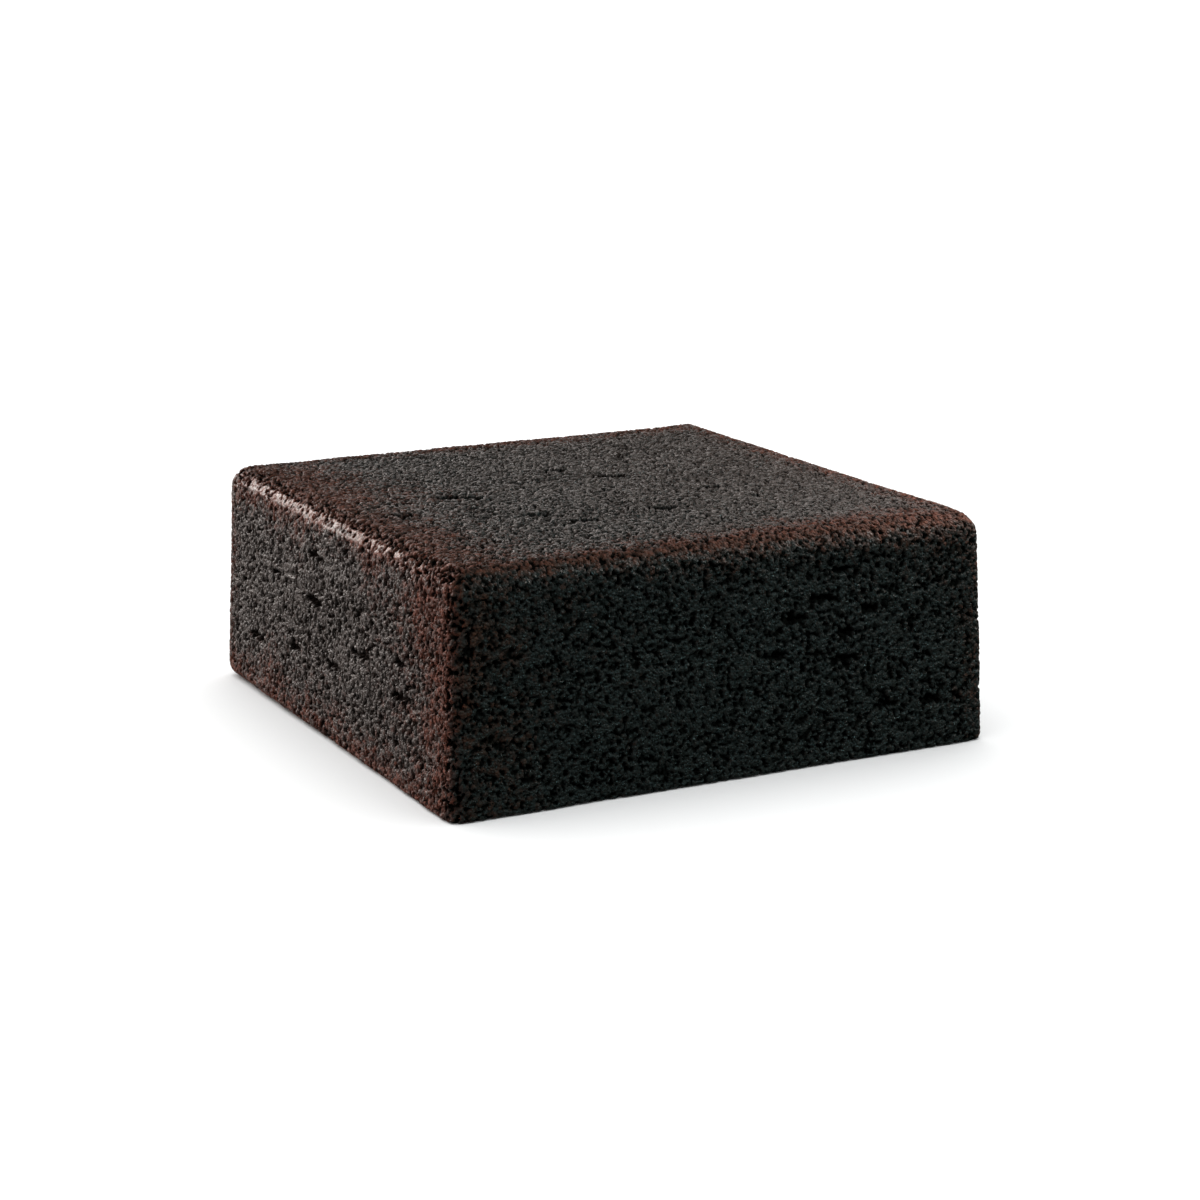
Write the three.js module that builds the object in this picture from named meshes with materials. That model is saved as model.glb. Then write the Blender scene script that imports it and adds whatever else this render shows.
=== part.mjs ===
// A square mud cake, turned out of its tin upside down. What was the bottom of the tin is now the
// flat top with soft round edges, the sides lean in a little towards it, and the cut foot is crumbly.
// Millimetres, +Z up. The origin is the middle of the base, on the surface that the cake rests on.
// -Y is the broad side shown in front, -X the side shown at its left.

import * as THREE from "three";
import { mergeVertices } from "three/addons/utils/BufferGeometryUtils.js";

// The cake as it came out of the tin
const SIDE = 200; // width and depth at the foot, from a 200 mm square tin
const HEIGHT = 79;
const LEAN = 2.8; // how far each side leans in from the foot to the top
const EDGE_RADIUS = 8.5; // of the rounding between the top and the sides
const CORNER_SQUARENESS = 3.6; // 2 rounds the upright corners as much as the top edge, more is tighter
const FOOT_ROUNDING = 1.2; // radius under the sides, where the cake was levelled
const FOOT_LIFT = 4; // added to that radius at the back left corner, where the foot pulls up

// How finely the skin is divided
const CELLS_ACROSS = 44;
const CELLS_UP = 18;
const ROW_GATHERING = 0.4; // 0 spaces the rows evenly, more gathers them at the foot and the top

// Crumb relief: soft lumps over the whole skin
const LUMPS = [
  { size: 26, height: 0.3 },
  { size: 9, height: 0.3 },
];

// The torn cracks and pits that show: place of the middle, and half of the mouth's length
const CRACKS_ON_TOP = [
  { x: -49, y: 3, half: 9.5 },
  { x: -37, y: -33, half: 6 },
  { x: 2, y: 31, half: 5 },
  { x: 16, y: 13, half: 7 },
  { x: -27, y: -48, half: 5 },
  { x: -76, y: -14, half: 5 },
  { x: 39, y: -21, half: 6 },
  { x: 5, y: -43, half: 5 },
];
const CRACKS_IN_FRONT = [
  { x: 42, z: 65, half: 5 },
  { x: 35, z: 56, half: 7 },
  { x: 53, z: 51, half: 5 },
  { x: 23, z: 51, half: 7 },
  { x: 43, z: 44, half: 5 },
  { x: 17, z: 39, half: 6 },
  { x: 43, z: 35, half: 7 },
  { x: 60, z: 17, half: 5 },
  { x: 77, z: 17, half: 6 },
];
const TOP_CRACK_TURN = THREE.MathUtils.degToRad(-28);
const CRACKS_ON_OTHER_SIDES = 9;
const CRACK_HALF_LENGTH = { least: 4, most: 8 };
const CRACK_HALF_WIDTH = 2.8;
const CRACK_DEPTH = { least: 1.0, most: 1.9 };
const CRACK_MARGIN = 16; // drawn cracks keep clear of the round edges

// The foot, where the cake was levelled: chips along the lowest rows
const CHIP_SPACING = 7;
const CHIP_DEPTH = 1;
const CHIP_REACH = 6; // how high above the base the chips fade out

const SEED = 41;
const CRUMB_COLOUR = 0x2b1b17;

// A repeatable stream of numbers from 0 to 1.
function randomStream(seed) {
  let state = seed >>> 0;
  return () => {
    state = (Math.imul(state, 1664525) + 1013904223) >>> 0;
    return state / 2 ** 32;
  };
}

const between = (range, random) => THREE.MathUtils.lerp(range.least, range.most, random());

// One repeatable number from -1 to 1 for each point of a whole-number lattice.
function latticeValue(i, j, k) {
  let mixed = Math.imul(i, 374761393) ^ Math.imul(j, 668265263) ^ Math.imul(k + SEED, 2147483647);
  mixed = Math.imul(mixed ^ (mixed >>> 13), 1274126177);
  return ((mixed ^ (mixed >>> 16)) >>> 0) / 2 ** 31 - 1;
}

// Soft lumps in space: lattice values blended over cells of the given size.
function lumps(point, size) {
  const cell = point.clone().divideScalar(size);
  const low = cell.clone().floor();
  const blend = cell.sub(low);
  const share = (t, high) => THREE.MathUtils.smoothstep(high ? t : 1 - t, 0, 1);
  let total = 0;
  for (let corner = 0; corner < 8; corner += 1) {
    const [i, j, k] = [corner & 1, (corner >> 1) & 1, corner >> 2];
    const weight = share(blend.x, i) * share(blend.y, j) * share(blend.z, k);
    total += weight * latticeValue(low.x + i, low.y + j, low.z + k);
  }
  return total;
}

// The skin as a block of cells with its bottom left off.
function openBlock() {
  const block = new THREE.BoxGeometry(SIDE, SIDE, HEIGHT, CELLS_ACROSS, CELLS_ACROSS, CELLS_UP);
  block.translate(0, 0, HEIGHT / 2);
  const bottom = block.groups.at(-1);
  const index = Array.from(block.index.array);
  index.splice(bottom.start, bottom.count);
  block.setIndex(index);
  block.clearGroups();
  block.deleteAttribute("normal");
  block.deleteAttribute("uv");
  return mergeVertices(block);
}

// The height of a row after the rows have been gathered towards the foot and the top.
function rowHeight(z) {
  const wave = Math.sin((2 * Math.PI * z) / HEIGHT) / (2 * Math.PI);
  return z - ROW_GATHERING * HEIGHT * wave;
}

// The radius of the rounding under the side at a point: it grows towards the back left corner.
function footRadius(point) {
  const towardsBackLeft = THREE.MathUtils.clamp((point.y - point.x) / SIDE, 0, 1);
  return FOOT_ROUNDING + FOOT_LIFT * towardsBackLeft;
}

// How far the foot's rounding draws the side in at a point.
function footInset(point) {
  const radius = footRadius(point);
  const below = Math.max(0, radius - point.z);
  return radius - Math.sqrt(radius ** 2 - below ** 2);
}

// The length of a level step, measured so that equal steps make a tighter corner than a circle.
function squaredUp(x, y) {
  const power = CORNER_SQUARENESS;
  return (Math.abs(x) ** power + Math.abs(y) ** power) ** (1 / power);
}

// Where a point of the block lies on the cake's round-edged, leaning form, and the way out there.
function placeOnForm(point) {
  const inner = SIDE / 2 - EDGE_RADIUS;
  const core = new THREE.Vector3(
    THREE.MathUtils.clamp(point.x, -inner, inner),
    THREE.MathUtils.clamp(point.y, -inner, inner),
    Math.min(point.z, HEIGHT - EDGE_RADIUS),
  );
  const away = point.clone().sub(core);
  const reach = Math.hypot(squaredUp(away.x, away.y), away.z);
  const place = core.addScaledVector(away, EDGE_RADIUS / reach);
  const out = away.normalize();
  place.addScaledVector(out, -footInset(place));
  const lean = 1 - ((LEAN / (SIDE / 2)) * place.z) / HEIGHT;
  place.x *= lean;
  place.y *= lean;
  return { place, out };
}

const LEVEL_X = new THREE.Vector3(1, 0, 0);
const LEVEL_Y = new THREE.Vector3(0, 1, 0);
const UP = new THREE.Vector3(0, 0, 1);

// A crack with its middle on the skin, running along a direction in it.
function crack(middle, along, half, random) {
  return { middle, along, half, depth: between(CRACK_DEPTH, random) };
}

// How far a side's skin stands from the middle of the cake at a height.
const sideReach = (z) => SIDE / 2 - (LEAN * z) / HEIGHT;

// Cracks drawn at random over one side, which looks out along the given direction.
function drawnCracks(out, random) {
  const across = UP.clone().cross(out);
  return Array.from({ length: CRACKS_ON_OTHER_SIDES }, () => {
    const z = HEIGHT / 2 + (2 * random() - 1) * (HEIGHT / 2 - CRACK_MARGIN);
    const aside = (2 * random() - 1) * (SIDE / 2 - CRACK_MARGIN);
    const middle = out.clone().multiplyScalar(sideReach(z)).addScaledVector(across, aside).setZ(z);
    return crack(middle, across, between(CRACK_HALF_LENGTH, random), random);
  });
}

// Those on the top run askew, those in the sides run level.
function allCracks() {
  const random = randomStream(SEED);
  const askew = LEVEL_X.clone().applyAxisAngle(UP, TOP_CRACK_TURN);
  const onTop = CRACKS_ON_TOP.map(({ x, y, half }) => {
    const middle = new THREE.Vector3(x, y, HEIGHT);
    return crack(middle, askew, half, random);
  });
  const inFront = CRACKS_IN_FRONT.map(({ x, z, half }) => {
    const middle = new THREE.Vector3(x, -sideReach(z), z);
    return crack(middle, LEVEL_X, half, random);
  });
  const others = [LEVEL_X, LEVEL_Y, LEVEL_X.clone().negate()].flatMap((out) => drawnCracks(out, random));
  return [...onTop, ...inFront, ...others];
}

// How far a crack draws the skin in at a point.
function depthOf({ middle, along, half, depth }, place) {
  const away = place.clone().sub(middle);
  const lengthways = away.dot(along);
  const acrossSquared = Math.max(0, away.lengthSq() - lengthways ** 2);
  return depth * Math.exp(-((lengthways / half) ** 2) - acrossSquared / CRACK_HALF_WIDTH ** 2);
}

// Chips along the foot: only ever inwards, and fading out a little way up.
function chipDepth(place) {
  const fade = Math.max(0, 1 - place.z / CHIP_REACH);
  const alongFoot = place.clone().setZ(0);
  return CHIP_DEPTH * fade * Math.max(0, lumps(alongFoot, CHIP_SPACING));
}

// How far the skin stands out (or, below zero, in) at a point of the plain form.
function relief(place, cracks) {
  const swell = LUMPS.reduce((sum, lump) => sum + lump.height * lumps(place, lump.size), 0);
  const torn = cracks.reduce((deepest, one) => Math.max(deepest, depthOf(one, place)), 0);
  return swell - torn - chipDepth(place);
}

// Closes the foot with a flat fan of triangles from its middle to the skin's lowest ring.
function closeFoot(positions, index) {
  const angle = (i) => Math.atan2(positions[3 * i + 1], positions[3 * i]);
  const rim = [];
  for (let i = 0; i < positions.length / 3; i += 1) {
    if (positions[3 * i + 2] === 0) rim.push(i);
  }
  rim.sort((a, b) => angle(a) - angle(b));
  const middle = positions.length / 3;
  positions.push(0, 0, 0);
  rim.forEach((from, place) => index.push(middle, rim[(place + 1) % rim.length], from));
}

// Moves the cake so that its box stands centred on the origin.
function centreOverOrigin(geometry) {
  geometry.computeBoundingBox();
  const middle = geometry.boundingBox.getCenter(new THREE.Vector3());
  geometry.translate(-middle.x, -middle.y, 0);
}

function cakeGeometry() {
  const block = openBlock();
  const cracks = allCracks();
  const positions = [];
  const point = new THREE.Vector3();
  for (let i = 0; i < block.attributes.position.count; i += 1) {
    point.fromBufferAttribute(block.attributes.position, i);
    point.z = rowHeight(point.z);
    const { place, out } = placeOnForm(point);
    place.addScaledVector(out, relief(place, cracks));
    positions.push(place.x, place.y, place.z);
  }
  const index = Array.from(block.index.array);
  closeFoot(positions, index);
  const geometry = new THREE.BufferGeometry();
  geometry.setAttribute("position", new THREE.Float32BufferAttribute(positions, 3));
  geometry.setIndex(index);
  centreOverOrigin(geometry);
  geometry.computeVertexNormals();
  return geometry;
}

const crumb = new THREE.MeshStandardMaterial({
  color: CRUMB_COLOUR,
  roughness: 0.7,
  metalness: 0,
});

const mudCake = new THREE.Mesh(cakeGeometry(), crumb);
mudCake.name = "mud_cake";

const cake = new THREE.Group();
cake.add(mudCake);

export default cake;
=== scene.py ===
"""A square chocolate mud cake, turned out of its tin upside down, without icing.

The cake is one piece: a closed skin of crumb over the form of the plain solid. Its nodules, pits, holes
and torn cracks are real relief in the mesh, and its material follows them. Metres, +Z up, -Y the broad
side in front, -X the side at its left.
"""

import math

import bpy
import numpy as np
from bpy.props import FloatProperty, FloatVectorProperty, PointerProperty
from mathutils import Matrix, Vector


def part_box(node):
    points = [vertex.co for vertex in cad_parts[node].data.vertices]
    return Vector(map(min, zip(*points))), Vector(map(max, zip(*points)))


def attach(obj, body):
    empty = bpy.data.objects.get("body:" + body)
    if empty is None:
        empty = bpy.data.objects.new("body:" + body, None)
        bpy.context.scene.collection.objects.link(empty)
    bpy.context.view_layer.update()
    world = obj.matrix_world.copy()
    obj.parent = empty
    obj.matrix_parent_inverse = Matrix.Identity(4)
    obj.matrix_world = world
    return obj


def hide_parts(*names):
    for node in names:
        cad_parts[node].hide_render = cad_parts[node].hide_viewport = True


bl_info = {
    "name": "Mud Cake",
    "version": (1, 0, 0),
    "blender": (4, 5, 0),
    "location": "3D View > Sidebar > Mud Cake",
    "description": "Makes a square chocolate mud cake of pitted, moist crumb, and a plain studio",
    "category": "Add Mesh",
}

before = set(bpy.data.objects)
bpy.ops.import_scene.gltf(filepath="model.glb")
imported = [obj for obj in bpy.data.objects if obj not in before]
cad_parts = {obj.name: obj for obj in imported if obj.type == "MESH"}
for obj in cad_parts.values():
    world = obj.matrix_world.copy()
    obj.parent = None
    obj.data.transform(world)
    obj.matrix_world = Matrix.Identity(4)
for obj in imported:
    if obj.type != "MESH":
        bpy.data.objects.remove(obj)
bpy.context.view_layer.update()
NODE = "mud_cake"
CAKE = "mud_cake_crumb"
LOWEST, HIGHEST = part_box(NODE)

MM = 0.001
SEED = 7
MAP_GAP = 3 * MM  # between the pieces of the skin on its flat map
BASE_RINGS = (0.985, 0.93, 0.8, 0.56, 0.28)  # how far out they lie, as shares of the base's rim

# Size and height of the soft lumps of the whole skin
LUMPS = ((26 * MM, 0.3 * MM), (9 * MM, 0.18 * MM))
LUMP_RISE = 0.5 * MM  # how far the highest of them stands over the plain form

# The grain: a lattice of nodules, stirred so that it is nowhere even
STIRRING = ((2.4 * MM, 0.4 * MM), (1.1 * MM, 0.22 * MM))  # size and reach of each softly uneven move
NODULE_RADIUS = (0.6, 0.92)  # as shares of the spacing
NODULE_OUTSIDE = 0.25  # how far outside the skin a nodule's middle may lie, as a share of the spacing
TOP_BULGE = 1.0  # how much more the nodules bulge on the top than on the sides
TOP_SHRINKING = 0.16  # how much smaller they are there
FINEST_GRAIN = (0.8 * MM, 0.08 * MM)  # size and height
FULL_SHADE_DEPTH = 1.0 * MM  # a hollow this deep gets the darkest painted shade

# The small round holes
HOLE_SPACING = 1.7 * MM
HOLE_RADIUS = (0.45 * MM, 0.85 * MM)
HOLE_STEEPNESS = 2.0  # 1 makes the holes half balls, more is deeper
SMALL_HOLES = 1.5  # more makes more of them small

# The torn cracks that show: place of the middle, and half of the mouth's length, in millimetres
CRACKS_ON_TOP = (
    (-49, 3, 9.5),
    (-37, -33, 6),
    (2, 31, 5),
    (16, 13, 7),
    (-27, -48, 5),
    (-76, -14, 5),
    (39, -21, 6),
    (5, -43, 5),
)
CRACKS_IN_FRONT = (
    (42, 65, 5),
    (35, 56, 7),
    (53, 51, 5),
    (23, 51, 7),
    (43, 44, 5),
    (17, 39, 6),
    (43, 35, 7),
    (60, 17, 5),
    (77, 17, 6),
)
TOP_CRACK_TURN = math.radians(-28)
CRACKS_ON_OTHER_SIDES = 9
CRACK_HALF_LENGTH = (4 * MM, 8 * MM)
CRACK_MARGIN = 16 * MM
CRACK_MOUTH = {"top": 2.4 * MM, "side": 1.7 * MM}  # half of its width
FRONT_CRACK_SHARE = 0.8  # how much of their length opens in front
CRACK_RAGGEDNESS = (0.6, 1.3)  # the mouth's width from nodule to nodule, as shares
CRACK_STEEPNESS = 0.5  # 1 closes a crack as fast inwards as sideways, less is deeper
CRACK_SEED = 41

# Pits and holes: in patches, fewer on the top, and most in a band along the left top edge
PIT_PATCHES = (7 * MM, 0.35)  # size and strength
FEWER_ON_TOP = 0.3
MORE_ALONG_EDGE = 2.2
EDGE_BAND = (3 * MM, 4 * MM, 7 * MM, 9 * MM)  # from the left side: begins, full, fades, ends
EDGE_BELOW_TOP = (6 * MM, 4 * MM)  # how far below the top the band begins, and is full
TOP_BELOW_TOP = (4 * MM, 3 * MM)  # and the same of the top

# The smooth stretch that the tin has pressed, on the rounding along the left top edge
PRESSED_BELOW_TOP = (7.5 * MM, 5.5 * MM)  # how far below the top it begins, and is full
PRESSED_RISE = (42, 50)  # degrees: how steeply upwards the skin looks where it fades, and ends
PRESSED_TO_LEFT = (0.35, 0.6)  # how much the skin looks to the left where it begins, and is full
PRESSED_STRETCH = (-62 * MM, -44 * MM, 78 * MM, 96 * MM)  # front to back: begins, full, fades, ends
PRESSED_PATCHES = 2.2 * MM
PRESSED_GAPS = (0.1, 0.35)  # the values of their noise between which a gap opens
PRESSED_GAP_DEPTH = 0.6
PRESSED_RAGGEDNESS = 80 * MM  # how far those patches shift its two ends
PRESSED_FLATNESS = {"bulge": 0.6, "relief": 0.87}
FRONT_RIM_FLATNESS = 0.45  # the rounding along the front top edge is a little smoother too
FRONT_RIM_TURN = (0.2, 0.5)  # how much it looks up and to the front where it begins, and is full

# How far the crust reaches from each edge, in its widths: inwards over the top, and down the side
CRUST_FROM_LEFT = (3.6, 1.2)
CRUST_FROM_FRONT = (1.7, 0.8)
CRUST_FROM_BACK = (1.8, 0.9)
CRUST_FROM_RIGHT = (1.4, 0.9)
CRUST_LOWER_AT_RIGHT = 1.2  # how much further it reaches down the front at its right end: partly real crust, partly painted light on that lit stretch of the rim
CRUST_FROM_FRONT_CORNER = 5.5  # from the upright edge between the left side and the front
CRUST_CORNER_DROP = 0.2  # how fast it fades down that edge, against how fast inwards
CRUST_FROM_BACK_CORNER = 0.8
CRUST_FROM_RIGHT_CORNERS = 1.2
CRUST_FROM_FOOT = 2.4  # from the foot of the left side
FOOT_CRUST_GAP = 4 * MM  # how far from an edge it starts as if there, so that it is thin
CRUST_PATCHES = ((5 * MM, 0.3), (22 * MM, 0.3))  # size and strength
CRUST_FALL = 1.2  # more keeps it full for longer and ends it sooner
CRUST_LESS_AS_SHADE = {"front": 0.4, "behind": 0.65}  # how much weaker it is on those sides, as painted shade: on the broad side in front, and behind, against the key light there
FRONT_CRUST_TURN = (0.5, 0.7)  # how much the skin looks to the front where that painted shade begins, at the left and right end; later at the right, leaving painted light on the rim
FRONT_CRUST_FADE = 0.15
BEHIND_CRUST_TURN = (0.3, 0.8)  # how much it looks back or to the right where that begins, and is full

# The material's patterns, in cells for each metre
PATCHES, CRUST_SPOTS, CRUST_SPECKS = 160.0, 420.0, 700.0
PINHOLE_SHADE_CELLS, GLINTS = 880.0, 900.0
GRIT, FINEST_GRIT = 1100.0, 2200.0
GRIT_HEIGHT, FINEST_GRIT_HEIGHT = -0.5 * MM, 0.35 * MM

# The light: a bright side behind the cake, and three lamps that shine on the cake alone
WARM, COOL = (1, 0.92, 0.87), (0.52, 0.95, 1)
BRIGHT_WAY = (-0.5, 0.87, 0)
BRIGHT_TINT, DIM_TINT = (1, 0.947, 0.91), (0.36, 0.9, 1)
LAMPS = {  # direction from the cake, distance, width and height, colour
    "key": ((-0.40, 0.86, 0.31), 1.8, (1.3, 0.35), WARM),
    "top": ((0.2, -0.07, 0.19), 0.285, (0.1, 0.1), WARM),
    "front": ((0.42, -0.64, 0.64), 1.5, (0.12, 0.12), COOL),
}
SUN_WIDTH = math.radians(110)
FLOOR_HALF = 20.0
FLOOR_DROP = 0.2 * MM

# The camera stands where the cake's own lines say that it stood
CAMERA_PLACE = (-0.4306, -0.8294, 0.2704)
CAMERA_YAW = math.radians(27.663)
CAMERA_PITCH = math.radians(13.957)
CAMERA_LENS = 82.07
SENSOR = 36.0


class CakeForm(bpy.types.PropertyGroup):
    """The plain form of the cake, before its crumb."""

    side: FloatProperty(
        name="Side",
        description="Width and depth of the cake at its foot",
        default=HIGHEST.x - LOWEST.x,
        unit="LENGTH",
    )
    height: FloatProperty(
        name="Height",
        description="Height of the plain form, without its soft lumps",
        default=HIGHEST.z - LOWEST.z - LUMP_RISE,
        unit="LENGTH",
    )
    lean: FloatProperty(
        name="Lean",
        description="How far each side leans in from the foot to the top",
        default=2.8 * MM,
        unit="LENGTH",
    )
    edge_radius: FloatProperty(
        name="Edge radius",
        description="Radius of the rounding between the top and the sides",
        default=8.5 * MM,
        unit="LENGTH",
    )
    corner_squareness: FloatProperty(
        name="Corner squareness",
        description="2 rounds the upright corners as much as the top edge, more is tighter",
        default=3.6,
        min=2,
    )
    foot_rounding: FloatProperty(
        name="Foot rounding",
        description="Radius under the sides, where the cake was levelled",
        default=1.2 * MM,
        unit="LENGTH",
    )
    foot_lift: FloatProperty(
        name="Foot lift",
        description="Added to the foot's radius at the back left corner",
        default=4 * MM,
        unit="LENGTH",
    )


class CrumbGrain(bpy.types.PropertyGroup):
    """The nodules, pits and cracks of the crumb."""

    step: FloatProperty(
        name="Step",
        description="Distance between neighbouring points of the skin",
        default=0.46 * MM,
        min=0.3 * MM,
        precision=5,
        unit="LENGTH",
    )
    spacing: FloatProperty(
        name="Nodule spacing",
        description="Distance from one crumb nodule to the next",
        default=1.2 * MM,
        precision=5,
        unit="LENGTH",
    )
    bulge: FloatProperty(
        name="Bulge",
        description="How far the nodules bulge, as a share of their radius",
        default=0.34,
        min=0,
        max=1,
        subtype="FACTOR",
    )
    flush: FloatProperty(
        name="Flush",
        description="How far the outermost nodules stand out of the plain form",
        default=0.15 * MM,
        precision=5,
        unit="LENGTH",
    )
    pit_depth: FloatProperty(
        name="Pit depth",
        description="How deep the deepest holes between the nodules go",
        default=2.4 * MM,
        precision=5,
        unit="LENGTH",
    )
    pits: FloatProperty(
        name="Pits",
        description="Share of the nodules that are missing and leave ragged pits",
        default=0.075,
        min=0,
        max=1,
        subtype="FACTOR",
    )
    holes: FloatProperty(
        name="Holes",
        description="Share of the places for small round holes that have one",
        default=0.22,
        min=0,
        max=1,
        subtype="FACTOR",
    )


class CrumbFinish(bpy.types.PropertyGroup):
    """Colours and gloss of the crumb."""

    crumb: FloatVectorProperty(
        name="Crumb",
        description="Colour of the moist dark crumb",
        default=(0.052, 0.032, 0.0255),
        subtype="COLOR",
    )
    crust: FloatVectorProperty(
        name="Crust",
        description="Colour of the thin baked crust along the edges",
        default=(0.185, 0.053, 0.031),
        subtype="COLOR",
    )
    crust_width: FloatProperty(
        name="Crust width",
        description="How far the crust reaches from the edges",
        default=9 * MM,
        unit="LENGTH",
    )
    roughness: FloatProperty(
        name="Roughness",
        description="Roughness of the nodules",
        default=0.42,
        min=0,
        max=1,
        subtype="FACTOR",
    )
    pressed_roughness: FloatProperty(
        name="Pressed roughness",
        description="Roughness of the moist crumb that the tin has pressed smooth",
        default=0.32,
        min=0,
        max=1,
        subtype="FACTOR",
    )


class StageSettings(bpy.types.PropertyGroup):
    """The plain floor and the soft studio light."""

    floor: FloatVectorProperty(
        name="Floor",
        description="Colour of the floor",
        default=(0.8, 0.8, 0.8),
        subtype="COLOR",
    )
    key_power: FloatProperty(
        name="Key light",
        description="Power of the large soft light behind the cake",
        default=20,
        min=0,
        unit="POWER",
    )
    top_power: FloatProperty(
        name="Top light",
        description="Power of the small light over the right of the cake",
        default=0.28,
        min=0,
        unit="POWER",
    )
    front_power: FloatProperty(
        name="Front light",
        description="Power of the weak light above the front",
        default=5.8,
        min=0,
        unit="POWER",
    )
    floor_light: FloatProperty(
        name="Floor light",
        description="Strength of the even light that falls on the floor alone",
        default=4.6,
        min=0,
    )
    surround: FloatProperty(
        name="Surround",
        description="Strength of the bright surroundings behind the cake",
        default=1.4,
        min=0,
    )
    front: FloatProperty(
        name="Front",
        description="Strength of the dim surroundings in front of the cake",
        default=0.036,
        min=0,
    )


# ---- The plain form ----------------------------------------------------------------------------


def block_skin(form, step):
    """A block's skin of square cells, open below: its points, its walls' faces and its lid's."""
    across = round(form.side / step)
    up = round(form.height / step)
    around = 4 * across
    ramp = np.arange(across) / across * form.side - form.side / 2
    edge = np.full(across, form.side / 2)
    ring_x = np.concatenate([ramp, edge, -ramp, -edge])
    ring_y = np.concatenate([-edge, ramp, edge, -ramp])
    heights = np.linspace(0, form.height, up + 1)
    walls = np.stack(
        [np.tile(ring_x, up + 1), np.tile(ring_y, up + 1), np.repeat(heights, around)], axis=1
    )
    inner_x, inner_y = np.meshgrid(ramp[1:], ramp[1:], indexing="ij")
    lid = np.stack(
        [inner_x.ravel(), inner_y.ravel(), np.full(inner_x.size, form.height)], axis=1
    )
    index = np.zeros((across + 1, across + 1), int)
    rim = up * around + np.arange(around + 1) % around
    index[:, 0] = rim[: across + 1]
    index[across, :] = rim[across : 2 * across + 1]
    index[:, across] = rim[2 * across : 3 * across + 1][::-1]
    index[0, :] = rim[3 * across : 4 * across + 1][::-1]
    index[1:-1, 1:-1] = len(walls) + np.arange(lid.shape[0]).reshape(inner_x.shape)
    here = np.arange(around)
    after = (here + 1) % around
    row = np.arange(up)[:, None] * around
    wall_faces = np.stack([row + here, row + after, row + around + after, row + around + here], axis=-1)
    lid_faces = np.stack([index[:-1, :-1], index[1:, :-1], index[1:, 1:], index[:-1, 1:]], axis=-1)
    return np.concatenate([walls, lid]), wall_faces, lid_faces


def flat_map(form, wall_faces, lid_faces, base):
    """Where each face corner lies on a square map: the lid, with two walls above it and two beside it.

    The base fills the far corner, at a smaller scale.
    """
    up, around = wall_faces.shape[:2]
    across = around // 4
    second = form.side + MAP_GAP
    third = second + form.height + MAP_GAP
    whole = third + form.height
    column, row = np.meshgrid(np.arange(around), np.arange(up))
    column = np.stack([column, column + 1, column + 1, column], axis=-1)
    row = np.stack([row, row, row + 1, row + 1], axis=-1)
    wall = np.broadcast_to(np.arange(around)[:, None] // across, row.shape)
    along = (column - wall * across) * form.side / across
    out = row * form.height / up + np.where(wall < 2, second, third)
    lies = wall % 2 == 0
    walls = np.stack([np.where(lies, along, out), np.where(lies, out, along)], axis=-1)
    i, j = np.meshgrid(np.arange(across), np.arange(across), indexing="ij")
    lid = np.stack([np.stack([i, i + 1, i + 1, i], -1), np.stack([j, j, j + 1, j + 1], -1)], axis=-1)
    base_scale = (whole - second) / form.side
    base = second + (base[:, :2] + form.side / 2) * base_scale
    parts = [walls.reshape(-1, 2), lid.reshape(-1, 2) * form.side / across, base]
    return np.concatenate(parts) / whole


def foot_radius(place, form):
    """The radius of the rounding under the side: it grows towards the back left corner."""
    towards_back_left = np.clip((place[:, 1] - place[:, 0]) / form.side, 0, 1)
    return form.foot_rounding + form.foot_lift * towards_back_left


def place_on_form(points, form):
    """Where the block's points lie on the round-edged, leaning form, and the way out there."""
    inner = form.side / 2 - form.edge_radius
    core = np.clip(points, (-inner, -inner, 0), (inner, inner, form.height - form.edge_radius))
    away = points - core
    power = form.corner_squareness
    level = (np.abs(away[:, 0]) ** power + np.abs(away[:, 1]) ** power) ** (1 / power)
    reach = np.hypot(level, away[:, 2])
    place = core + away * (form.edge_radius / reach)[:, None]
    out = away / np.linalg.norm(away, axis=1)[:, None]
    radius = foot_radius(place, form)
    below = np.maximum(0, radius - place[:, 2])
    inset = radius - np.sqrt(np.maximum(0, radius**2 - below**2))
    place -= out * inset[:, None]
    lean = 1 - form.lean / (form.side / 2) * place[:, 2] / form.height
    place[:, :2] *= lean[:, None]
    return place, out


# ---- The relief of the crumb -------------------------------------------------------------------


def soft_noise(points, size, random):
    """Smooth values from -1 to 1 in lumps of the given size."""
    cell = (points - points.min(axis=0)) / size
    low = np.floor(cell).astype(int)
    blend = cell - low
    blend = blend * blend * (3 - 2 * blend)
    lattice = random.uniform(-1, 1, low.max(axis=0) + 2)
    total = np.zeros(len(points))
    for corner in np.ndindex(2, 2, 2):
        weight = np.where(corner, blend, 1 - blend).prod(axis=1)
        total += weight * lattice[tuple((low + corner).T)]
    return total


def stirred(points, size, far, random):
    """The points moved about softly, so that what is laid out from them comes out uneven."""
    moves = [soft_noise(points, size, random) for _ in range(3)]
    return points + far * np.stack(moves, axis=1)


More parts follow.
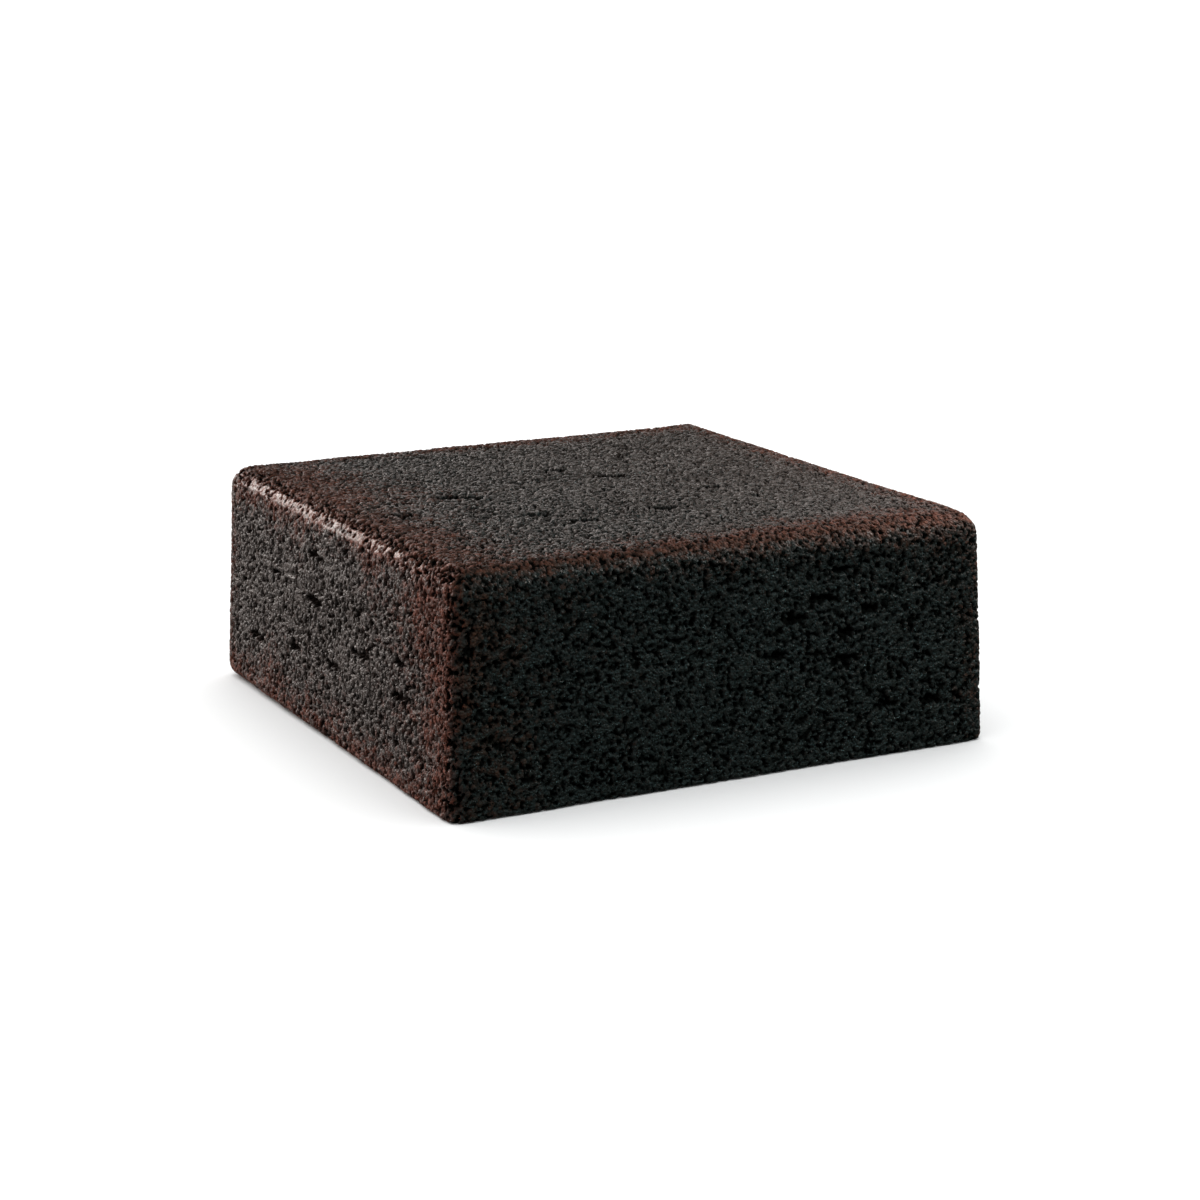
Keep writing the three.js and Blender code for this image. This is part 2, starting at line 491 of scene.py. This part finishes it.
def missing(seat, start, spacing, cracks, share, random):
    """Which nodules are gone: a share of them at random, and those torn out along the cracks."""
    gone = random.random(seat.shape[:3]) < share(seat.reshape(-1, 3)).reshape(seat.shape[:3])
    for middle, along, out, half, gape in cracks:
        reach = half + 2 * gape
        low = np.maximum(0, np.floor((middle - reach - start) / spacing)).astype(int)
        high = np.ceil((middle + reach - start) / spacing).astype(int)
        block = tuple(slice(first, last) for first, last in zip(low, high))
        away = seat[block] - middle
        lengthways = away @ along
        inwards = away @ out
        sideways = (away**2).sum(axis=-1) - lengthways**2 - inwards**2
        across = np.sqrt(np.maximum(0, sideways) + (CRACK_STEEPNESS * inwards) ** 2)
        mouth = gape * np.sqrt(np.maximum(0, 1 - (lengthways / half) ** 2))
        gone[block] |= across < mouth * random.uniform(*CRACK_RAGGEDNESS, across.shape)
    return gone


def seats(points, spacing, random):
    """A jittered lattice of seats around the points: its corner, the seats, and each point's cell."""
    start = points.min(axis=0) - 2 * spacing
    cell = np.floor((points - start) / spacing).astype(int)
    count = cell.max(axis=0) + 3
    lattice = np.stack(np.indices(count), axis=-1)
    return start, start + (lattice + random.random((*count, 3))) * spacing, cell


def near_seats(points, out, seat, cell):
    """For each seat near the points: where it is in the lattice, its depth, and how far beside.

    Depth is measured along the way out, and below zero inside. How far beside is squared.
    """
    for step in np.ndindex(3, 3, 3):
        which = tuple((cell + step - 1).T)
        away = seat[which] - points
        depth = (away * out).sum(axis=1)
        yield which, depth, (away**2).sum(axis=1) - depth**2


def nodules(points, out, bulge, fill, grain, cracks, share, random):
    """How far the crumb's nodules stand out at each point, and a value from 0 to 1 that each has."""
    start, seat, cell = seats(points, grain.spacing, random)
    radius = grain.spacing * random.uniform(*NODULE_RADIUS, seat.shape[:3])
    value = random.random(seat.shape[:3])
    radius[missing(seat, start, grain.spacing, cracks, share, random)] = 0
    height = np.full(len(points), -grain.pit_depth)
    owner = np.zeros(len(points))
    for which, depth, beside in near_seats(points, out, seat, cell):
        size = fill * radius[which]
        crown = np.minimum(depth, grain.flush - bulge * size)
        crown += bulge * np.sqrt(np.maximum(0, size**2 - beside))
        higher = (beside < size**2) & (depth < NODULE_OUTSIDE * grain.spacing) & (crown > height)
        height[higher] = crown[higher]
        owner[higher] = value[which][higher]
    return height, owner


def holes(points, out, share, random):
    """How deep the small round holes in the crumb are at each point."""
    _, seat, cell = seats(points, HOLE_SPACING, random)
    smallest, largest = HOLE_RADIUS
    radius = smallest + (largest - smallest) * random.random(seat.shape[:3]) ** SMALL_HOLES
    radius[random.random(seat.shape[:3]) > share(seat.reshape(-1, 3)).reshape(seat.shape[:3])] = 0
    deepest = np.zeros(len(points))
    for which, depth, beside in near_seats(points, out, seat, cell):
        hole = np.sqrt(np.maximum(0, radius[which] ** 2 - beside))
        deepest = np.maximum(deepest, np.where(np.abs(depth) < HOLE_SPACING / 2, hole, 0))
    return HOLE_STEEPNESS * deepest


def random_stream(seed):
    """A repeatable stream of numbers from 0 to 1."""
    state = seed
    while True:
        state = (state * 1664525 + 1013904223) % 2**32
        yield state / 2**32


def all_cracks(form):
    """Every crack's middle, the way it runs, the way out there, half its length and half its mouth.

    Each takes one more number from the stream than it needs, for the depth that it has in the plain
    solid, so that the drawn cracks fall on the solid's own.
    """
    stream = random_stream(CRACK_SEED)
    turned = np.array((math.cos(TOP_CRACK_TURN), math.sin(TOP_CRACK_TURN), 0))
    level = np.array((1, 0, 0))
    up = np.array((0, 0, 1))

    def side_reach(z):
        return form.side / 2 - form.lean * z / form.height

    cracks = []
    for x, y, half in CRACKS_ON_TOP:
        middle = np.array((x * MM, y * MM, form.height))
        cracks.append((middle, turned, up, half * MM, CRACK_MOUTH["top"]))
        next(stream)
    for x, z, half in CRACKS_IN_FRONT:
        middle = np.array((x * MM, -side_reach(z * MM), z * MM))
        opened = FRONT_CRACK_SHARE * half * MM
        cracks.append((middle, level, np.array((0, -1, 0)), opened, CRACK_MOUTH["side"]))
        next(stream)
    for out in np.array(((1, 0, 0), (0, 1, 0), (-1, 0, 0))):
        across = np.cross(up, out)
        for _ in range(CRACKS_ON_OTHER_SIDES):
            z = form.height / 2 + (2 * next(stream) - 1) * (form.height / 2 - CRACK_MARGIN)
            aside = (2 * next(stream) - 1) * (form.side / 2 - CRACK_MARGIN)
            middle = out * side_reach(z) + across * aside + up * z
            shortest, longest = CRACK_HALF_LENGTH
            half = shortest + (longest - shortest) * next(stream)
            cracks.append((middle, across, out, half, CRACK_MOUTH["side"]))
            next(stream)
    return cracks


def smooth_step(value, low, high):
    """From 0 at the low value to 1 at the high one, without a kink."""
    share = np.clip((value - low) / (high - low), 0, 1)
    return share * share * (3 - 2 * share)


def plateau(value, begins, full, fades, ends):
    """1 between the two middle values, and smoothly down to 0 at the outer ones."""
    return smooth_step(value, begins, full) * (1 - smooth_step(value, fades, ends))


def above(place, form, below_top):
    """0 up to the first height below the top, and 1 from the second one."""
    begins, full = below_top
    return smooth_step(place[:, 2], form.height - begins, form.height - full)


def crust_share(points, out, form, finish, random):
    """From 0 to 1: how much baked crust each point has, by how near the block's edges it is.

    It reaches furthest over the top from the left, and hardly down the broad side in front, where that
    is painted shade; it is weaker behind too, as painted shade, and reaches lower down the front rim at
    its right end, partly as painted light.
    """
    x, y, z = points.T
    half = form.side / 2
    left, right, front, back, down = x + half, half - x, y + half, half - y, form.height - z

    def from_edge(inwards, reach, lower=0.0):
        over, below = reach
        return inwards / over + down / (below + lower)

    near = np.minimum.reduce(
        [
            from_edge(left, CRUST_FROM_LEFT),
            # Lower at the front's right end: partly painted light on the lit rim
            from_edge(front, CRUST_FROM_FRONT, CRUST_LOWER_AT_RIGHT * left / form.side),
            from_edge(back, CRUST_FROM_BACK),
            from_edge(right, CRUST_FROM_RIGHT),
            (left + front + CRUST_CORNER_DROP * down) / CRUST_FROM_FRONT_CORNER,
            (right + np.minimum(back, front)) / CRUST_FROM_RIGHT_CORNERS,
            (left + back) / CRUST_FROM_BACK_CORNER,
            (left + z) / CRUST_FROM_FOOT + FOOT_CRUST_GAP,
        ]
    )
    (small, ragged), (large, uneven) = CRUST_PATCHES
    near = near + ragged * finish.crust_width * soft_noise(points, small, random)
    near *= (1 + uneven * soft_noise(points, large, random)) / finish.crust_width
    # Painted shade: less crust on the broad side in front, fading lower down the rim towards its right
    # end, and less behind and on the right, against the key light
    turn = np.interp(left, (0, form.side), FRONT_CRUST_TURN)
    front_shade = smooth_step(-out[:, 1] - turn, 0, FRONT_CRUST_FADE)
    behind = smooth_step(out[:, :2].max(axis=1), *BEHIND_CRUST_TURN)
    kept = (1 - CRUST_LESS_AS_SHADE["front"] * front_shade) * (1 - CRUST_LESS_AS_SHADE["behind"] * behind)
    return np.exp(-np.maximum(0, near) ** CRUST_FALL) * kept


def pressed_smooth(place, out, form, random):
    """From 0 to 1: how much the tin has pressed the crumb smooth, along the left top edge."""
    rise = np.degrees(np.arcsin(np.clip(out[:, 2], -1, 1)))
    band = above(place, form, PRESSED_BELOW_TOP)
    band *= 1 - smooth_step(rise, *PRESSED_RISE)
    band *= smooth_step(-out[:, 0], *PRESSED_TO_LEFT)
    gaps = smooth_step(soft_noise(place, PRESSED_PATCHES, random), *PRESSED_GAPS)
    band *= 1 - PRESSED_GAP_DEPTH * gaps
    shifted = place[:, 1] + PRESSED_RAGGEDNESS * soft_noise(place, PRESSED_PATCHES, random)
    return band * plateau(shifted, *PRESSED_STRETCH)


def pit_share(form, usual, random):
    """Says what share of the places has a pit, by place: more than usual along the left top edge."""
    patch, strength = PIT_PATCHES

    def share(place):
        uneven = 1 + strength * soft_noise(place, patch, random)
        edge = plateau(form.side / 2 + place[:, 0], *EDGE_BAND) * above(place, form, EDGE_BELOW_TOP)
        on_top = above(place, form, TOP_BELOW_TOP)
        return usual * uneven * (1 - FEWER_ON_TOP * on_top + MORE_ALONG_EDGE * edge)

    return share


# ---- The cake's mesh ---------------------------------------------------------------------------


def close_foot(place, around):
    """Rings from the lowest ring of the skin in to the middle of the base, and their faces."""
    rings = [place[:around] * (share, share, 0) for share in BASE_RINGS]
    first = len(place)
    index = [np.arange(around)]
    index += [first + number * around + np.arange(around) for number in range(len(rings))]
    faces = [
        np.stack([outer, inner, np.roll(inner, -1), np.roll(outer, -1)], axis=1)
        for outer, inner in zip(index, index[1:])
    ]
    middle = first + len(rings) * around
    last = index[-1]
    fan = np.stack([last, np.full(around, middle), np.roll(last, -1)], axis=1)
    points = np.concatenate([place, *rings, np.zeros((1, 3))])
    return points, np.concatenate(faces), fan


def mesh_from(name, points, quads, triangles):
    """A smooth mesh from arrays of points and of faces with four and three corners."""
    mesh = bpy.data.meshes.new(name)
    mesh.vertices.add(len(points))
    mesh.vertices.foreach_set("co", points.astype(np.float32).ravel())
    corners = np.concatenate([quads.ravel(), triangles.ravel()])
    sizes = np.concatenate([np.full(len(quads), 4), np.full(len(triangles), 3)])
    starts = np.concatenate([[0], np.cumsum(sizes)[:-1]])
    mesh.loops.add(len(corners))
    mesh.loops.foreach_set("vertex_index", corners.astype(np.int32))
    mesh.polygons.add(len(sizes))
    mesh.polygons.foreach_set("loop_start", starts.astype(np.int32))
    mesh.polygons.foreach_set("use_smooth", np.ones(len(sizes), bool))
    mesh.update(calc_edges=True)
    return mesh


def crumb_mesh(form, grain, finish):
    """The cake's whole skin, with its relief, and what its material reads at each point."""
    random = np.random.default_rng(SEED)
    block, wall_faces, lid_faces = block_skin(form, grain.step)
    around = wall_faces.shape[1]
    place, out = place_on_form(block, form)
    swell = sum(height * soft_noise(place, size, random) for size, height in LUMPS)
    pressed = pressed_smooth(place, out, form, random)
    bulge = grain.bulge * (1 + TOP_BULGE * out[:, 2]) * (1 - PRESSED_FLATNESS["bulge"] * pressed)
    uneven = place
    for size, far in STIRRING:
        uneven = stirred(uneven, size, far, random)
    fill = 1 - TOP_SHRINKING * out[:, 2]
    torn = pit_share(form, grain.pits, random)
    grown, owner = nodules(uneven, out, bulge, fill, grain, all_cracks(form), torn, random)
    grown -= holes(uneven, out, pit_share(form, grain.holes, random), random)
    front_rim = smooth_step(np.minimum(out[:, 2], -out[:, 1]), *FRONT_RIM_TURN)
    eased = np.maximum(PRESSED_FLATNESS["relief"] * pressed, FRONT_RIM_FLATNESS * front_rim)
    grown = grain.flush + (grown - grain.flush) * (1 - eased)
    size, height = FINEST_GRAIN
    fine = height * soft_noise(place, size, random) * (1 - pressed)
    crust = crust_share(block, out, form, finish, random)
    skin = place + out * (swell + grown + fine)[:, None]
    skin[:, 2] = np.maximum(0, skin[:, 2])
    skin[:around, 2] = 0
    points, base_faces, fan = close_foot(skin, around)
    quads = np.concatenate([wall_faces.reshape(-1, 4), lid_faces.reshape(-1, 4), base_faces])
    mesh = mesh_from(CAKE, points, quads, fan)
    base_corners = np.concatenate([base_faces.ravel(), fan.ravel()])
    places = flat_map(form, wall_faces, lid_faces, points[base_corners])
    mesh.uv_layers.new(name="OFBake").uv.foreach_set("vector", places.astype(np.float32).ravel())
    spare = len(points) - len(skin)
    # From 0 to 1, how deep each point lies in a hollow: the material paints shade into the colour there
    # and makes it duller
    hollow = np.clip((grain.flush - grown) / FULL_SHADE_DEPTH, 0, 1)
    kept = {"crust": crust, "hollow": hollow, "nodule": owner, "pressed": pressed}
    for name, values in kept.items():
        layer = mesh.attributes.new(name, "FLOAT", "POINT")
        layer.data.foreach_set("value", np.append(values, np.zeros(spare)).astype(np.float32))
    return mesh


# ---- The crumb's material ----------------------------------------------------------------------


class Bench:
    """Adds nodes to a tree. Its methods give back the socket that holds their result."""

    def __init__(self, tree, coordinates):
        self.tree = tree
        self.place = self.add("ShaderNodeTexCoord").outputs[coordinates]

    def feed(self, socket, value):
        """Links the socket to another one, or sets it to a value."""
        if isinstance(value, bpy.types.NodeSocket):
            self.tree.links.new(value, socket)
        else:
            socket.default_value = value

    def add(self, kind, settings=(), **inputs):
        """A new node, with its settings made and its named inputs fed."""
        made = self.tree.nodes.new(kind)
        for name, value in dict(settings).items():
            setattr(made, name, value)
        for name, value in inputs.items():
            self.feed(made.inputs[name.replace("_", " ")], value)
        return made

    def stored(self, name):
        """What the mesh holds at each point under a name."""
        return self.add("ShaderNodeAttribute", {"attribute_name": name}).outputs["Fac"]

    def noise(self, scale, detail=2.0):
        made = self.add("ShaderNodeTexNoise", Vector=self.place, Scale=scale, Detail=detail)
        return made.outputs["Fac"]

    def cells(self, scale):
        """The distances and the colours of a pattern of uneven cells."""
        made = self.add("ShaderNodeTexVoronoi", Vector=self.place, Scale=scale)
        return made.outputs["Distance"], made.outputs["Color"]

    def spread(self, value, span, onto=(0.0, 1.0), kind="LINEAR"):
        """The value, with one span of numbers laid onto another and cut off at its ends."""
        ends = {"From_Min": span[0], "From_Max": span[1], "To_Min": onto[0], "To_Max": onto[1]}
        made = self.add("ShaderNodeMapRange", {"interpolation_type": kind}, Value=value, **ends)
        return made.outputs["Result"]

    def reckoned(self, operation, *values):
        made = self.add("ShaderNodeMath", {"operation": operation})
        for socket, value in zip(made.inputs, values):
            self.feed(socket, value)
        return made.outputs[0]

    def times(self, first, second):
        return self.reckoned("MULTIPLY", first, second)

    def between(self, share, first, second):
        """A number between two."""
        return self.add("ShaderNodeMix", Factor=share, A=first, B=second).outputs["Result"]

    def mixed(self, share, first, second):
        """A colour between two."""
        made = self.add("ShaderNodeMix", {"data_type": "RGBA"})
        for number, value in ((0, share), (6, first), (7, second)):
            self.feed(made.inputs[number], value)
        return made.outputs[2]


def shade(colour, strength):
    """A lighter or darker one of a colour."""
    return (*(Vector(colour) * strength), 1)


def crusted(bench):
    """How much crust shows: less on some nodules than on others, and in soft spots."""
    on_nodules = bench.times(bench.stored("nodule"), 0.45)
    crust = bench.reckoned("SUBTRACT", bench.stored("crust"), on_nodules)
    spots = bench.spread(bench.noise(CRUST_SPOTS), (0.3, 0.6), (0.7, 1.0))
    return bench.times(bench.spread(crust, (0.05, 0.5)), spots)


def hollow_shading(bench):
    """Where shade is painted: in the pits and cracks of the mesh, and as dark pinholes too fine for it.
    """
    # Painted shade: dark dots stand for pinholes, kept off the pressed stretch
    distance, colour = bench.cells(PINHOLE_SHADE_CELLS)
    uneven = bench.reckoned("ADD", distance, bench.times(colour, 0.35))
    unpressed = bench.spread(bench.stored("pressed"), (0.0, 0.5), (1.0, 0.0))
    pinhole_shade = bench.times(bench.spread(uneven, (0.29, 0.38), (1.0, 0.0)), unpressed)
    return bench.reckoned("MAXIMUM", bench.spread(bench.stored("hollow"), (0.2, 0.75)), pinhole_shade)


def crumb_colour(bench, finish, crusty, hollow):
    """Dark crumb whose nodules differ a little, under a speckled crust, with painted shade in its
    hollows and pinholes.
    """
    crumb = bench.mixed(bench.stored("nodule"), shade(finish.crumb, 0.6), shade(finish.crumb, 1.5))
    patches = bench.spread(bench.noise(PATCHES), (0.35, 0.7))
    crumb = bench.mixed(patches, crumb, shade(finish.crumb, 1))
    specks = bench.spread(bench.noise(CRUST_SPECKS), (0.35, 0.62))
    crust = bench.mixed(specks, shade(finish.crust, 0.4), shade(finish.crust, 1.5))
    # Painted shade: the hollows and pinholes take a far darker crumb colour
    return bench.mixed(hollow, bench.mixed(crusty, crumb, crust), shade(finish.crumb, 0.25))


def crumb_roughness(bench, finish, crusty, hollow):
    """Moist with fine glints, duller on the crust and in the hollows, and smooth where pressed."""
    glossiest = 0.6 * finish.pressed_roughness
    glints = bench.spread(bench.noise(GLINTS), (0.4, 0.62), (finish.roughness + 0.1, glossiest))
    dull = bench.reckoned("MAXIMUM", bench.times(crusty, 0.6), hollow)
    moist = bench.between(dull, glints, 0.65)
    return bench.between(bench.stored("pressed"), moist, finish.pressed_roughness)


def crumb_grit(bench):
    """The finest grit of the surface, weaker where the tin has pressed it."""
    strength = bench.spread(bench.stored("pressed"), (0.0, 1.0), (1.0, 0.3))
    distance, _ = bench.cells(GRIT)
    coarse = bench.add("ShaderNodeBump", Height=distance, Strength=strength, Distance=GRIT_HEIGHT)
    fine = bench.add(
        "ShaderNodeBump",
        Height=bench.noise(FINEST_GRIT, 3.0),
        Strength=strength,
        Distance=FINEST_GRIT_HEIGHT,
        Normal=coarse.outputs["Normal"],
    )
    return fine.outputs["Normal"]


def crumb_material(finish):
    """Moist dark crumb whose nodules differ in colour and gloss, with a red-brown crust at the edges."""
    material = bpy.data.materials.new("moist_crumb")
    material.use_nodes = True
    bench = Bench(material.node_tree, "Object")
    crusty, hollow = crusted(bench), hollow_shading(bench)
    on_crust = bench.spread(crusty, (0.0, 1.0), (0.5, 0.17))
    # Painted shade in the gloss too: the specular level falls almost to nothing in the hollows and
    # pinholes, so they reflect nothing
    hollow_gloss_shade = bench.spread(hollow, (0.0, 1.0), (1.0, 0.05))
    shader = material.node_tree.nodes["Principled BSDF"].inputs
    bench.feed(shader["Base Color"], crumb_colour(bench, finish, crusty, hollow))
    bench.feed(shader["Roughness"], crumb_roughness(bench, finish, crusty, hollow))
    bench.feed(shader["Specular IOR Level"], bench.times(on_crust, hollow_gloss_shade))
    bench.feed(shader["Normal"], crumb_grit(bench))
    return material


# ---- The studio --------------------------------------------------------------------------------


def add_object(name, data):
    """A new object that holds the data, linked to the scene."""
    made = bpy.data.objects.new(name, data)
    bpy.context.scene.collection.objects.link(made)
    return made


def make_floor(stage):
    """A plain pale floor that throws no light back at the cake."""
    half = FLOOR_HALF
    corners = [(-half, -half, 0), (half, -half, 0), (half, half, 0), (-half, half, 0)]
    mesh = bpy.data.meshes.new("floor")
    mesh.from_pydata(corners, [], [(0, 1, 2, 3)])
    floor = add_object("floor", mesh)
    floor.location.z = -FLOOR_DROP
    material = bpy.data.materials.new("pale_floor")
    material.use_nodes = True
    shader = material.node_tree.nodes["Principled BSDF"]
    shader.inputs["Base Color"].default_value = (*stage.floor, 1)
    shader.inputs["Roughness"].default_value = 0.9
    shader.inputs["Specular IOR Level"].default_value = 0.1
    mesh.materials.append(material)
    floor.visible_diffuse = False
    floor.visible_glossy = False
    floor.visible_shadow = False
    return floor


def make_world(stage):
    """Surroundings that are bright low down behind the cake and to its left, and dim elsewhere.

    The camera itself sees them as plain white.
    """
    world = bpy.data.worlds.new("studio")
    bpy.context.scene.world = world
    world.use_nodes = True
    bench = Bench(world.node_tree, "Generated")
    way = bench.place
    towards = bench.add("ShaderNodeVectorMath", {"operation": "DOT_PRODUCT"})
    bench.feed(towards.inputs[0], way)
    bench.feed(towards.inputs[1], Vector(BRIGHT_WAY).normalized())
    height = bench.add("ShaderNodeSeparateXYZ", Vector=way).outputs["Z"]
    behind = bench.spread(towards.outputs["Value"], (-0.1, 0.6), kind="SMOOTHSTEP")
    low = bench.spread(height, (0.3, 0.55), (1.0, 0.15), kind="SMOOTHSTEP")
    over_floor = bench.spread(height, (-0.15, 0.05), (0.2, 1.0), kind="SMOOTHSTEP")
    bright = bench.times(bench.times(behind, low), over_floor)
    dim, light = shade(DIM_TINT, stage.front), shade(BRIGHT_TINT, stage.surround)
    seen = bench.add("ShaderNodeLightPath").outputs["Is Camera Ray"]
    colour = bench.mixed(seen, bench.mixed(bright, dim, light), (1, 1, 1, 1))
    bench.feed(world.node_tree.nodes["Background"].inputs["Color"], colour)


def shine_only_on(light, *receivers):
    """Keeps a light off everything else."""
    group = bpy.data.collections.new(light.name + "_lights")
    for one in receivers:
        group.objects.link(one)
    light.light_linking.receiver_collection = group


def soft_light(name, towards, far, size, power, colour):
    """A soft square light in the given direction from the cake, turned to face it."""
    lamp = bpy.data.lights.new(name, "AREA")
    lamp.shape = "RECTANGLE"
    lamp.size, lamp.size_y = size
    lamp.energy = power
    lamp.color = colour
    light = add_object(name, lamp)
    way = Vector(towards).normalized()
    light.location = way * far
    light.rotation_euler = way.to_track_quat("Z", "Y").to_euler()
    return light


def make_lights(stage, cake, floor):
    """The lamps that shine on the cake alone, and an even light from above for the floor alone."""
    for name, (towards, far, size, colour) in LAMPS.items():
        power = getattr(stage, name + "_power")
        shine_only_on(soft_light(name + "_light", towards, far, size, power, colour), cake)
    sun = bpy.data.lights.new("floor_light", "SUN")
    sun.angle = SUN_WIDTH
    sun.energy = stage.floor_light
    shine_only_on(add_object("floor_light", sun), floor)


def make_camera():
    """The camera at the photograph's place and angle."""
    lens = bpy.data.cameras.new("camera")
    lens.lens = CAMERA_LENS
    lens.sensor_width = SENSOR
    camera = add_object("camera", lens)
    camera.location = CAMERA_PLACE
    camera.rotation_euler = (math.pi / 2 - CAMERA_PITCH, 0, -CAMERA_YAW)
    bpy.context.scene.camera = camera


# ---- Operators and panel -----------------------------------------------------------------------


class MUDCAKE_OT_crumb(bpy.types.Operator):
    """Makes the cake: one closed skin of nodules, pits and torn cracks, with its material"""

    bl_idname = "mudcake.crumb"
    bl_label = "Make the cake"

    def execute(self, context):
        scene = context.scene
        mesh = crumb_mesh(scene.cake_form, scene.crumb_grain, scene.crumb_finish)
        mesh.materials.append(crumb_material(scene.crumb_finish))
        cake = add_object(CAKE, mesh)
        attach(cake, "root")
        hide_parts(NODE)
        return {"FINISHED"}


class MUDCAKE_OT_stage(bpy.types.Operator):
    """Makes the pale floor, the soft light and the camera"""

    bl_idname = "mudcake.stage"
    bl_label = "Make the studio"

    def execute(self, context):
        stage = context.scene.cake_stage
        floor = make_floor(stage)
        make_world(stage)
        make_lights(stage, bpy.data.objects[CAKE], floor)
        make_camera()
        context.scene.view_settings.view_transform = "Standard"
        return {"FINISHED"}


class MUDCAKE_PT_panel(bpy.types.Panel):
    """Lists the steps that make the cake and its studio, with their settings"""

    bl_idname = "MUDCAKE_PT_panel"
    bl_label = "Mud Cake"
    bl_space_type = "VIEW_3D"
    bl_region_type = "UI"
    bl_category = "Mud Cake"

    def draw(self, context):
        scene = context.scene
        for group, operator in (
            (scene.cake_form, None),
            (scene.crumb_grain, None),
            (scene.crumb_finish, "mudcake.crumb"),
            (scene.cake_stage, "mudcake.stage"),
        ):
            box = self.layout.box()
            for name in group.__annotations__:
                box.prop(group, name)
            if operator:
                box.operator(operator)


CLASSES = (
    CakeForm,
    CrumbGrain,
    CrumbFinish,
    StageSettings,
    MUDCAKE_OT_crumb,
    MUDCAKE_OT_stage,
    MUDCAKE_PT_panel,
)


def register():
    for one in CLASSES:
        bpy.utils.register_class(one)
    bpy.types.Scene.cake_form = PointerProperty(type=CakeForm)
    bpy.types.Scene.crumb_grain = PointerProperty(type=CrumbGrain)
    bpy.types.Scene.crumb_finish = PointerProperty(type=CrumbFinish)
    bpy.types.Scene.cake_stage = PointerProperty(type=StageSettings)


def unregister():
    del bpy.types.Scene.cake_stage
    del bpy.types.Scene.crumb_finish
    del bpy.types.Scene.crumb_grain
    del bpy.types.Scene.cake_form
    for one in reversed(CLASSES):
        bpy.utils.unregister_class(one)


def main():
    register()
    bpy.ops.mudcake.crumb()
    bpy.ops.mudcake.stage()


if __name__ == "__main__":
    main()
